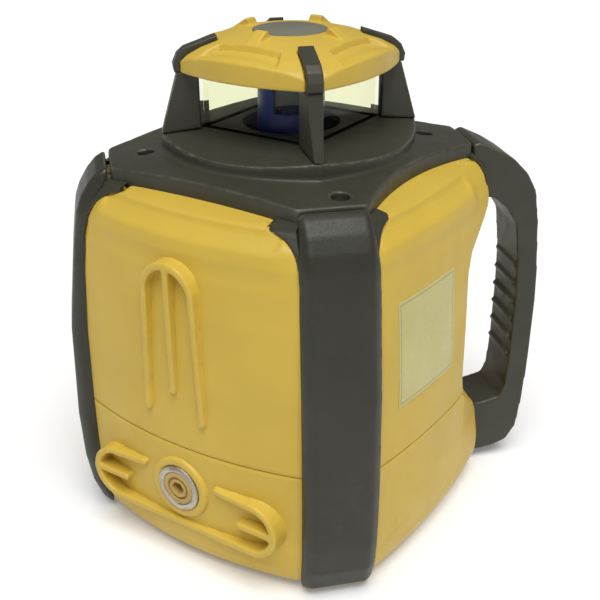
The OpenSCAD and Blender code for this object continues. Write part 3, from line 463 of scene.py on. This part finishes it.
def gear_material():
    g = Graph("gear_white")
    base = g.mix(g.span(g.noise(90, 3), 0.3, 0.7), (0.64, 0.63, 0.57), (0.74, 0.73, 0.68))
    g.bump(g.noise(700, 2), 0.02)
    g.set(Base_Color=base, Roughness=0.42)
    return g.material


def board_material():
    g = Graph("board")
    copper = g.span(g.cells(420), 0.10, 0.16, 1.0, 0.0)
    base = g.mix(g.span(g.noise(60, 3), 0.3, 0.7), (0.02, 0.13, 0.05), (0.03, 0.19, 0.08))
    base = g.mix(g.math("MULTIPLY", copper, 0.6), base, (0.45, 0.38, 0.2))
    g.bump(copper, 0.03)
    g.set(Base_Color=base, Roughness=0.38)
    return g.material


def display_material():
    g = Graph("display")
    base = g.mix(g.span(g.noise(30, 2), 0.3, 0.7), (0.26, 0.33, 0.25), (0.33, 0.39, 0.31))
    dots = g.tree.nodes.new("ShaderNodeTexWave")
    dots.wave_type = "BANDS"
    dots.bands_direction = "X"
    dots.inputs["Scale"].default_value = 500
    g.link(g.place, dots.inputs["Vector"])
    base = g.mix(g.math("MULTIPLY", dots.outputs["Fac"], 0.12), base, (0.2, 0.25, 0.2))
    g.set(Base_Color=base, Roughness=0.25)
    return g.material


def cell_material():
    """A plain wrapped dry cell with a dark body."""
    g = Graph("cell")
    base = g.mix(g.span(g.noise(50, 3), 0.3, 0.7), (0.21, 0.23, 0.26), (0.29, 0.31, 0.34))
    g.bump(g.noise(250, 3), 0.03)
    g.set(Base_Color=base, Roughness=g.span(g.noise(80, 2), 0.3, 0.7, 0.24, 0.36), Metallic=0.6)
    return g.material


def label_material():
    """A blank pale sticker with a thin dark line just inside its edge."""
    g = Graph("label")
    lo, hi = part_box("label_plate")
    y_near = g.math("MINIMUM", g.math("SUBTRACT", g.axis(1), lo.y), g.math("SUBTRACT", hi.y, g.axis(1)))
    z_near = g.math("MINIMUM", g.math("SUBTRACT", g.axis(2), lo.z), g.math("SUBTRACT", hi.z, g.axis(2)))
    inside = g.math("MINIMUM", y_near, z_near)
    line = g.math("MULTIPLY", g.span(inside, 0.0009, 0.0012), g.span(inside, 0.0016, 0.0019, 1.0, 0.0))
    base = g.mix(g.span(g.noise(35, 3), 0.3, 0.7), (0.56, 0.50, 0.165), (0.61, 0.545, 0.20))
    base = g.mix(g.math("MULTIPLY", line, 0.4), base, (0.10, 0.09, 0.05))
    g.bump(g.noise(60, 2), 0.05)
    g.set(Base_Color=base, Roughness=g.span(g.noise(100, 3), 0.3, 0.7, 0.22, 0.36))
    return g.material


navy = head_material()
gear_white = gear_material()
board = board_material()
display = display_material()
cell = cell_material()
label = label_material()

FINISHES = {
    "yellow_shell": yellow, "dark_frame": dark, "bumper_dark": bumper_mat, "grey_trim": grey_trim,
    "black_rubber": black, "clear_glass": pane, "prism_glass": prism, "clear_window": window,
    "cap_disc": disc_mat, "steel": steel, "alloy": alloy, "alloy_insert": insert_mat,
    "plug_tan": tan, "label": label, "display": display, "board": board,
    "button_red": key_red, "button_grey": key_grey, "cell": cell, "brass": brass,
    "barrel_black": black_alloy, "sensor_green": vial, "gear_white": gear_white, "navy_head": navy,
}

# The finish of each CAD node that stays as it is
NODE_SLOT = {
    "seam_seal": "black_rubber", "lantern_floor": "grey_trim", "glass_gasket": "black_rubber",
    "glass_panes": "clear_glass", "cap_frame": "grey_trim", "handle_screws": "steel",
    "housing_screws": "steel", "base_screws": "steel", "label_plate": "label",
    "display_window": "clear_window", "display_module": "display", "control_board": "board",
    "key_mat": "black_rubber", "main_board": "board", "battery_cells": "cell",
    "battery_contacts": "steel", "chassis": "alloy", "chassis_screws": "steel",
    "level_motors": "steel", "guide_rods": "steel", "level_screw_x": "steel",
    "level_screw_y": "steel", "level_nut_x": "brass", "level_nut_y": "brass",
    "gimbal_ring": "alloy", "gimbal_pins": "steel", "laser_barrel": "alloy",
    "tilt_arm": "alloy", "tilt_sensors": "sensor_green", "laser_module": "brass",
    "collimator_lens": "prism_glass", "head_motor": "steel", "motor_pinion": "brass",
    "head_gear": "gear_white", "head_bearings": "steel", "pentaprism": "prism_glass",
}
for node, name in NODE_SLOT.items():
    obj = nodes[node]
    obj.data.materials.clear()
    obj.data.materials.append(FINISHES[name])


# ------------------------------------------------------------------ housings
def lozenge(t, z, mid_z, half_z, half_t):
    """Distance outside a long rounded outline."""
    across = np.maximum(np.abs(t) - (half_t - half_z), 0)
    return np.hypot(across, z - mid_z) - half_z


def shoulder_dish(t, z, centre, half_t):
    """A long shallow dish in the slope above the crease."""
    return smooth(-lozenge(t - centre, z, 165.2, 3.3, half_t), -0.2, 1.3) * 1.5


def shoulder_push(t, z, centre, half_t):
    """How far the shoulder of a face is pushed in: out to a crisp crease, with a dish above it."""
    fade = 1 - smooth(np.abs(t - centre), half_t - 3, half_t + 8)
    ridge = np.minimum(np.clip((z - 149) / 11.6, 0, 1) ** 1.6, np.clip((169 - z) / 8.4, 0, 1))
    return shoulder_dish(t, z, centre, half_t) - 2.0 * ridge * fade


SHOULDERS = {"laydown": (0, 46), "battery": (0, 46), "label": (-13, 40), "control": (13, 40)}


def sink_faces(p, n):
    """The shell's faces sit just under the panels, and what stands out of them stays."""
    for face in FACES:
        out, along = turned(FACES[face][0])
        t, z = p @ along, p[:, 2]
        depth = p @ out - skin(face, t, z)
        proud = (1 - smooth(depth, 0.35, 0.8)) * (z < 155.5) + (z >= 155.5)
        weight = smooth(depth, -3.5, -1.2) * proud * (n @ out > 0.1) * (z < 167)
        p = p - out[None, :] * (weight * (1.1 + shoulder_dish(t, z, *SHOULDERS[face])))[:, None]
    top = smooth(p[:, 2], 164, 167) * (n[:, 2] > 0.05)
    return p - n * (top * 2.6)[:, None]


# The seat of a bumper, by the part's own rule: height and distance from the axis. It stands
# upright to its knee, and leans back from there to the arm of the top plate.
CORNER_CUT = 30.9
ARM_BACK = 13 - 1.2
seat_r = (face_half + rear_half) / math.sqrt(2) - CORNER_CUT
SEAT_Z = [0, body_top - 22, body_top - 8, body_top + 10]
SEAT_R = [seat_r, seat_r, seat_r - ARM_BACK, seat_r - ARM_BACK]


def corner_shade(p):
    """Painted shade that keeps the corners behind the bumpers dark."""
    across = (np.abs(p[:, 0]) + np.abs(p[:, 1])) / math.sqrt(2)
    open_corner = ~((p[:, 0] > 0) & (p[:, 1] > 0))
    shade = smooth(across - np.interp(p[:, 2], SEAT_Z, SEAT_R), -6, -4)
    return shade * open_corner * (p[:, 2] > 156)


def housing(node):
    mesh = voxel_mesh(node, 0.75)
    p, e = points_of(mesh), edges_of(mesh)
    p = relax(p, e, 2)
    put_points(mesh, p)
    p = relax(sink_faces(p, normals_of(mesh)), e, 2)
    put_points(mesh, p)
    mesh = thinned(mesh, 190000)
    mark_edges(mesh, 3, 4.0, corner_shade)
    return finish_piece(node + "_shell", mesh, yellow, "yellow_shell", "casing", node)


def face_edge(face, side, z):
    """How far a face reaches on one side: to a bumper, or to the handle corner's cut."""
    z = np.asarray(z, float)
    t = np.full(z.shape, 55.0)
    for _ in range(60):
        reach = skin(face, side * t, z)
        if HANDLE_SIDE.get(face) == side:
            goal = np.interp(z, CORNER_Z, CORNER_R) * math.sqrt(2) - reach
        else:
            goal = reach - bumper_half * math.sqrt(2)
        t = t + (goal - t) * 0.5
    return t


def levels(start, stop, step, extra):
    """Rows or columns from start to stop, with some exact ones."""
    values = set(np.round(np.linspace(start, stop, int((stop - start) / step) + 1), 3))
    values = {v for v in values if all(abs(v - x) > step * 0.3 for x in extra)}
    return np.array(sorted(values | {round(x, 3) for x in extra}))


TOP_ROUND = 11
PANEL_TOP = 169.0
# Over the top edge: how far in, and how much higher
DECK_STEPS = ((0.7, 0.5), (1.6, 0.8), (3.5, 1.25), (7, 1.85), (12, 2.65), (18, 3.4))


def corner_cut(z):
    """How much a panel's rounded top corner takes off its side."""
    rise = np.clip(z - (PANEL_TOP - TOP_ROUND), 0, TOP_ROUND)
    return TOP_ROUND - np.sqrt(TOP_ROUND**2 - rise**2)


def deck_rows(last, out, proud=0.0):
    """Rows that carry on over the top edge."""
    rows = []
    for inward, lift in DECK_STEPS:
        row = last - out[None, :] * inward
        row[:, 2] = last[:, 2] + lift + proud
        rows.append(row)
    return rows


def sheet(name, grid, out, material, slot, keep=None, crevice_shade=0.0):
    """A moulded skin on a grid of points, with a return behind all its edges."""
    count, width = grid.shape[:2]
    index = np.arange(count * width).reshape(count, width)
    corners = [index[:-1, :-1], index[:-1, 1:], index[1:, 1:], index[1:, :-1]]
    quads = np.stack(corners, axis=-1).reshape(-1, 4)
    if keep is not None:
        quads = quads[keep(grid.reshape(-1, 3)[quads].mean(1))]
    mesh = bpy.data.meshes.new(name)
    mesh.from_pydata((grid.reshape(-1, 3) * MM).tolist(), [], quads.tolist())
    work = bmesh.new()
    work.from_mesh(mesh)
    bmesh.ops.remove_doubles(work, verts=work.verts, dist=2e-6)
    loose = [v for v in work.verts if not v.link_faces]
    bmesh.ops.delete(work, geom=loose, context="VERTS")
    rim = [e for e in work.edges if e.is_boundary]
    made = bmesh.ops.extrude_edge_only(work, edges=rim)
    moved = [g for g in made["geom"] if isinstance(g, bmesh.types.BMVert)]
    bmesh.ops.translate(work, verts=moved, vec=Vector(-out * 1.8 * MM))
    bmesh.ops.recalc_face_normals(work, faces=work.faces)
    work.to_mesh(mesh)
    work.free()
    store(mesh, "edge", np.zeros(len(mesh.vertices)))
    store(mesh, "crevice_shade", np.full(len(mesh.vertices), crevice_shade))
    obj = finish_piece(name, mesh, material, slot, "casing")
    mesh.set_sharp_from_angle(angle=math.radians(42))
    return obj


def panel(name, face, z0, z1, hole=None, round_hole=None):
    """The yellow skin of one face, with softened edges."""
    out, along = turned(FACES[face][0])
    top = z1 >= PANEL_TOP
    z_extra = [z0, z0 + 0.35, z0 + 0.8, z1, z1 - 0.35, z1 - 0.8] + (list(hole[2:]) if hole else [])
    rows = levels(z0, z1, 1.1, z_extra)
    reach = max(face_edge(face, -1, rows).max(), face_edge(face, 1, rows).max()) + 2
    columns = levels(-reach, reach, 1.1, list(hole[:2]) if hole else [])
    left, right = face_edge(face, -1, rows), face_edge(face, 1, rows)
    under = {side: 0.0 if HANDLE_SIDE.get(face) == side else 1.6 for side in (-1, 1)}
    points = []
    for z, lo, hi in zip(rows, left, right):
        cut = float(corner_cut(z)) if top else 0.0
        lo, hi = lo - cut, hi - cut
        tuck = max(0.0, 1 - cut / 1.6)
        t = np.clip(columns, -lo - under[-1] * tuck, hi + under[1] * tuck)
        d = skin(face, t, z) - shoulder_push(t, z, *SHOULDERS[face]) + 0.05
        near_hi = hi - t if under[1] or cut else np.full_like(t, 9)
        near_lo = lo + t if under[-1] or cut else np.full_like(t, 9)
        d = d - 0.9 * (1 - smooth(np.minimum(near_lo, near_hi), -0.4, 1.5))
        ends = z - z0 if top else min(z - z0, z1 - z)
        d = d - 0.35 * (1 - smooth(np.full_like(t, ends), 0, 0.8))
        row = out[None, :] * d[:, None] + along[None, :] * t[:, None]
        row[:, 2] = z
        if face in HANDLE_SIDE:
            # Turn round the edge on to the wall behind the handle
            side = HANDLE_SIDE[face]
            corner = row[-1] if side > 0 else row[0]
            inward, outward = (along * side - out) / math.sqrt(2), (along * side + out) / math.sqrt(2)
            steps, lift = np.array([0.5, 1.5, 3, 5, 8]), np.array([0.1, 0.25, 0.2, 0.0, -1.2])
            more = corner[None, :] + inward[None, :] * steps[:, None] + outward[None, :] * lift[:, None]
            row = np.vstack([row, more] if side > 0 else [more[::-1], row])
        points.append(row)
    if top:
        points += deck_rows(points[-1], out)

    def keep(middle):
        t, z = middle @ along, middle[:, 2]
        stays = np.ones(len(middle), bool)
        if hole:
            stays &= ~((t > hole[0]) & (t < hole[1]) & (z > hole[2]) & (z < hole[3]))
        if round_hole:
            stays &= np.hypot(t, z - round_hole[0]) > round_hole[1]
        return stays

    return sheet(name, np.array(points), out, yellow, "yellow_shell", keep)


def corner_fill(name, face, side):
    """The dark frame that curls down round a panel's top corner."""
    out, along = turned(FACES[face][0])
    rows = levels(PANEL_TOP - TOP_ROUND - 1, PANEL_TOP, 0.7, [PANEL_TOP - 0.3, PANEL_TOP - 0.1])
    edge = face_edge(face, side, rows)
    points = []
    for z, far in zip(rows, edge):
        inner = far - float(corner_cut(z)) + 0.3
        outer = far + (0.3 if HANDLE_SIDE.get(face) == side else 1.8)
        u = np.concatenate([[0, 0.3, 0.7, 1.2], np.linspace(1.2, max(outer - inner, 1.4), 10)[1:]])
        t = np.minimum(inner + u, outer) * side
        d = skin(face, t, z) + 0.75 - 0.7 * (1 - smooth(np.minimum(u, outer - inner), 0, 1.0))
        row = out[None, :] * d[:, None] + along[None, :] * t[:, None]
        row[:, 2] = z
        points.append(row)
    points += deck_rows(points[-1], out, 1.2)
    return sheet(name, np.array(points), out, dark, "dark_frame")


def rounded(node, name, size, rounds, material, slot, body="casing", shrink=0.0, mask=None, after=None,
            limit=150000, extra_shade=None):
    """A CAD node as a moulded piece with soft edges."""
    mesh = voxel_mesh(node, size)
    p, e = points_of(mesh), edges_of(mesh)
    weights = None if mask is None else mask(p)
    p = relax(p, e, rounds, weights)
    put_points(mesh, p)
    if shrink:
        p = p - normals_of(mesh) * shrink
        put_points(mesh, p)
    if after is not None:
        p = after(p, normals_of(mesh))
        p = relax(p, e, 1)
        put_points(mesh, p)
    mesh = thinned(mesh, limit)
    mark_edges(mesh, extra_shade=extra_shade)
    return finish_piece(name, mesh, material, slot, body, node)


housing("lower_housing")
housing("upper_housing")
tray_low, tray_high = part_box("battery_tray")
bezel_low, bezel_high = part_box("control_bezel")
door = (tray_low.y / MM - 0.4, tray_high.y / MM + 0.4, tray_low.z / MM - 0.4, tray_high.z / MM + 0.4)
screen = (-bezel_high.x / MM - 0.3, -bezel_low.x / MM + 0.3,
          bezel_low.z / MM - 0.3, bezel_high.z / MM + 0.3)
side_z = (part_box("side_insert")[0].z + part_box("side_insert")[1].z) / 2 / MM
for face in FACES:
    panel(face + "_upper_skin", face, seam_z + 0.22, PANEL_TOP, hole=screen if face == "control" else None)
    panel(face + "_lower_skin", face, 1.6, seam_z - 0.22, hole=door if face == "battery" else None,
          round_hole=(side_z, 13) if face == "laydown" else None)
    for side, word in ((-1, "a"), (1, "b")):
        corner_fill(f"{face}_top_corner_{word}", face, side)
rounded("battery_tray", "battery_tray_shell", 0.8, 2, yellow, "yellow_shell", "tray", shrink=0.1)


# ------------------------------------------------------------------ top plate, lantern, cap
def well_places():
    """The screw wells of the top plate, over the housing screws."""
    p = points_of(nodes["housing_screws"].data)
    quarters = [(x, y) for x in (-1, 1) for y in (-1, 1)]
    inside = [(p[:, 0] * x > 0) & (p[:, 1] * y > 0) for x, y in quarters]
    return [p[k].mean(0) for k in inside if k.any()]


def near_well(p):
    return np.min([np.hypot(p[:, 0] - w[0], p[:, 1] - w[1]) for w in well_places()], axis=0)


def plate_mask(p):
    """The rim and arms are rounder than the skirt round the glass, and the screw wells stay sharp."""
    rim = 1 - smooth(p[:, 2], plate_low + 10, plate_low + 12)
    well = smooth(np.hypot(p[:, 0], p[:, 1]), 38, 42)
    return (0.25 + 0.75 * rim * well) * (0.1 + 0.9 * smooth(near_well(p), 4.6, 6.5))


def well_shade(p):
    local = np.zeros(len(p))
    for w in well_places():
        r = np.hypot(p[:, 0] - w[0], p[:, 1] - w[1])
        near = r < 6
        if near.any():
            level = p[near, 2].max()
            local[near] = smooth(level - p[near, 2], 0.9, 1.6) * (r[near] < 4.2)
    return local


rounded("top_plate", "top_plate_shell", 0.75, 7, dark, "dark_frame", mask=plate_mask, extra_shade=well_shade)
rounded("lantern_pillars", "lantern_pillar_set", 0.5, 2, dark, "dark_frame")
rounded("cap_straps", "cap_strap_set", 0.45, 2, dark, "dark_frame")
rounded("carry_handle", "handle_shell", 0.75, 4, dark, "dark_frame")
for side in ("front", "left", "back"):
    rounded(f"bumper_{side}", f"bumper_{side}_shell", 0.8, 6, bumper_mat, "bumper_dark", shrink=0.2)


def sculpt_cap(p, n):
    """Shallow scallops between the straps, open towards the rim."""
    z = p[:, 2]
    for angle in (0, 90, 180, 270):
        out, along = turned(angle)
        d, t = p @ out, np.abs(p @ along)
        top = smooth(d, 29.7, 30.7)
        ends = 1 - smooth(t - (d - 30) * 0.45, 15, 16.1)
        fade = 1 - smooth(d, 33, 41.5)
        outer = smooth(n[:, 2], 0.1, 0.4) * (z > rim_z + 4)
        push = top * ends * fade * outer * 2.4
        p = p - np.array([0, 0, 1.0])[None, :] * push[:, None]
    return p


rounded("cap_cover", "cap_shell", 0.5, 2, yellow, "yellow_shell", after=sculpt_cap)

# ------------------------------------------------------------------ smaller pieces
finish_piece("cap_disc_face", bevelled("cap_disc", 0.3), disc_mat, "cap_disc", "casing", "cap_disc")
finish_piece("head_shell", bevelled("spinning_head", 0.5, 3), navy, "navy_head", "head", "spinning_head")
finish_piece("base_disc", bevelled("base_plate", 0.5), alloy, "alloy", "casing", "base_plate")
finish_piece("insert_ring", bevelled("side_insert", 0.4), insert_mat,
             "alloy_insert", "casing", "side_insert")
finish_piece("plug_body", bevelled("side_plug", 0.3), tan, "plug_tan", "thread_plug", "side_plug")
finish_piece("knob_body", bevelled("battery_knob", 0.6, 3), grey_trim,
             "grey_trim", "lock_knob", "battery_knob")
finish_piece("bezel_frame", bevelled("control_bezel", 0.6, 3), grey_trim,
             "grey_trim", "casing", "control_bezel")
for key in ("power", "speed", "scan", "level", "up", "down"):
    finish = key_red if key == "power" else key_grey
    slot_name = "button_red" if key == "power" else "button_grey"
    finish_piece(key + "_cap", bevelled(key + "_button", 0.5, 3), finish, slot_name,
                 key + "_key", key + "_button")

# ------------------------------------------------------------------ camera, lamps, floor
AZIMUTH, ELEVATION, ROLL = 33.38, 26.09, -0.31
CAMERA_PLACE = (242.03, -360.67, 311.0)
LENS = 984.92 / 600 * 36


def make_camera():
    a, e, r = (math.radians(v) for v in (AZIMUTH, ELEVATION, ROLL))
    back = Vector((math.sin(a) * math.cos(e), -math.cos(a) * math.cos(e), math.sin(e)))
    right = Vector((math.cos(a), math.sin(a), 0))
    up = back.cross(right)
    right_r = right * math.cos(r) + up * math.sin(r)
    up_r = up * math.cos(r) - right * math.sin(r)
    data = bpy.data.cameras.new("camera")
    data.lens = LENS
    data.sensor_width = 36
    data.clip_start = 0.02
    data.clip_end = 50
    cam = bpy.data.objects.new("camera", data)
    scene.collection.objects.link(cam)
    turn = np.array([right_r, up_r, back]).T
    cam.matrix_world = Matrix([
        [*turn[0], CAMERA_PLACE[0] * MM],
        [*turn[1], CAMERA_PLACE[1] * MM],
        [*turn[2], CAMERA_PLACE[2] * MM],
        [0, 0, 0, 1],
    ])
    scene.camera = cam


def make_floor():
    mesh = bpy.data.meshes.new("floor")
    reach = 6.0
    corners = [(-reach, -reach, 0), (reach, -reach, 0), (reach, reach, 0), (-reach, reach, 0)]
    mesh.from_pydata(corners, [], [(0, 1, 2, 3)])
    obj = add_object("floor", mesh)
    g = Graph("floor")
    g.set(Base_Color=(0.86, 0.86, 0.86), Roughness=0.9, Specular_IOR_Level=0.1)
    path = g.tree.nodes.new("ShaderNodeLightPath")
    seen = g.math("MAXIMUM", path.outputs["Is Camera Ray"], path.outputs["Is Glossy Ray"])
    seen = g.math("MAXIMUM", seen, path.outputs["Is Transmission Ray"])
    g.set(Emission_Color=(1, 1, 1), Emission_Strength=g.math("MULTIPLY", seen, 0.16))
    mesh.materials.append(g.material)


def make_world():
    world = bpy.data.worlds.new("studio")
    scene.world = world
    world.use_nodes = True
    tree = world.node_tree
    tree.nodes.clear()
    out = tree.nodes.new("ShaderNodeOutputWorld")
    light = tree.nodes.new("ShaderNodeBackground")
    light.inputs["Color"].default_value = (1, 1, 1, 1)
    light.inputs["Strength"].default_value = 0.21
    seen = tree.nodes.new("ShaderNodeBackground")
    seen.inputs["Color"].default_value = (1, 1, 1, 1)
    seen.inputs["Strength"].default_value = 1.0
    path = tree.nodes.new("ShaderNodeLightPath")
    blend = tree.nodes.new("ShaderNodeMixShader")
    tree.links.new(path.outputs["Is Camera Ray"], blend.inputs[0])
    tree.links.new(light.outputs[0], blend.inputs[1])
    tree.links.new(seen.outputs[0], blend.inputs[2])
    tree.links.new(blend.outputs[0], out.inputs["Surface"])


def sun(name, direction, strength, spread):
    data = bpy.data.lights.new(name, "SUN")
    data.energy = strength
    data.angle = math.radians(spread)
    obj = bpy.data.objects.new(name, data)
    obj.rotation_mode = "QUATERNION"
    obj.rotation_quaternion = Vector(direction).to_track_quat("Z", "Y")
    scene.collection.objects.link(obj)


make_camera()
make_floor()
make_world()
sun("key", (0.27, -0.30, 1.0), 2.8, 40)
scene.view_settings.view_transform = "Standard"
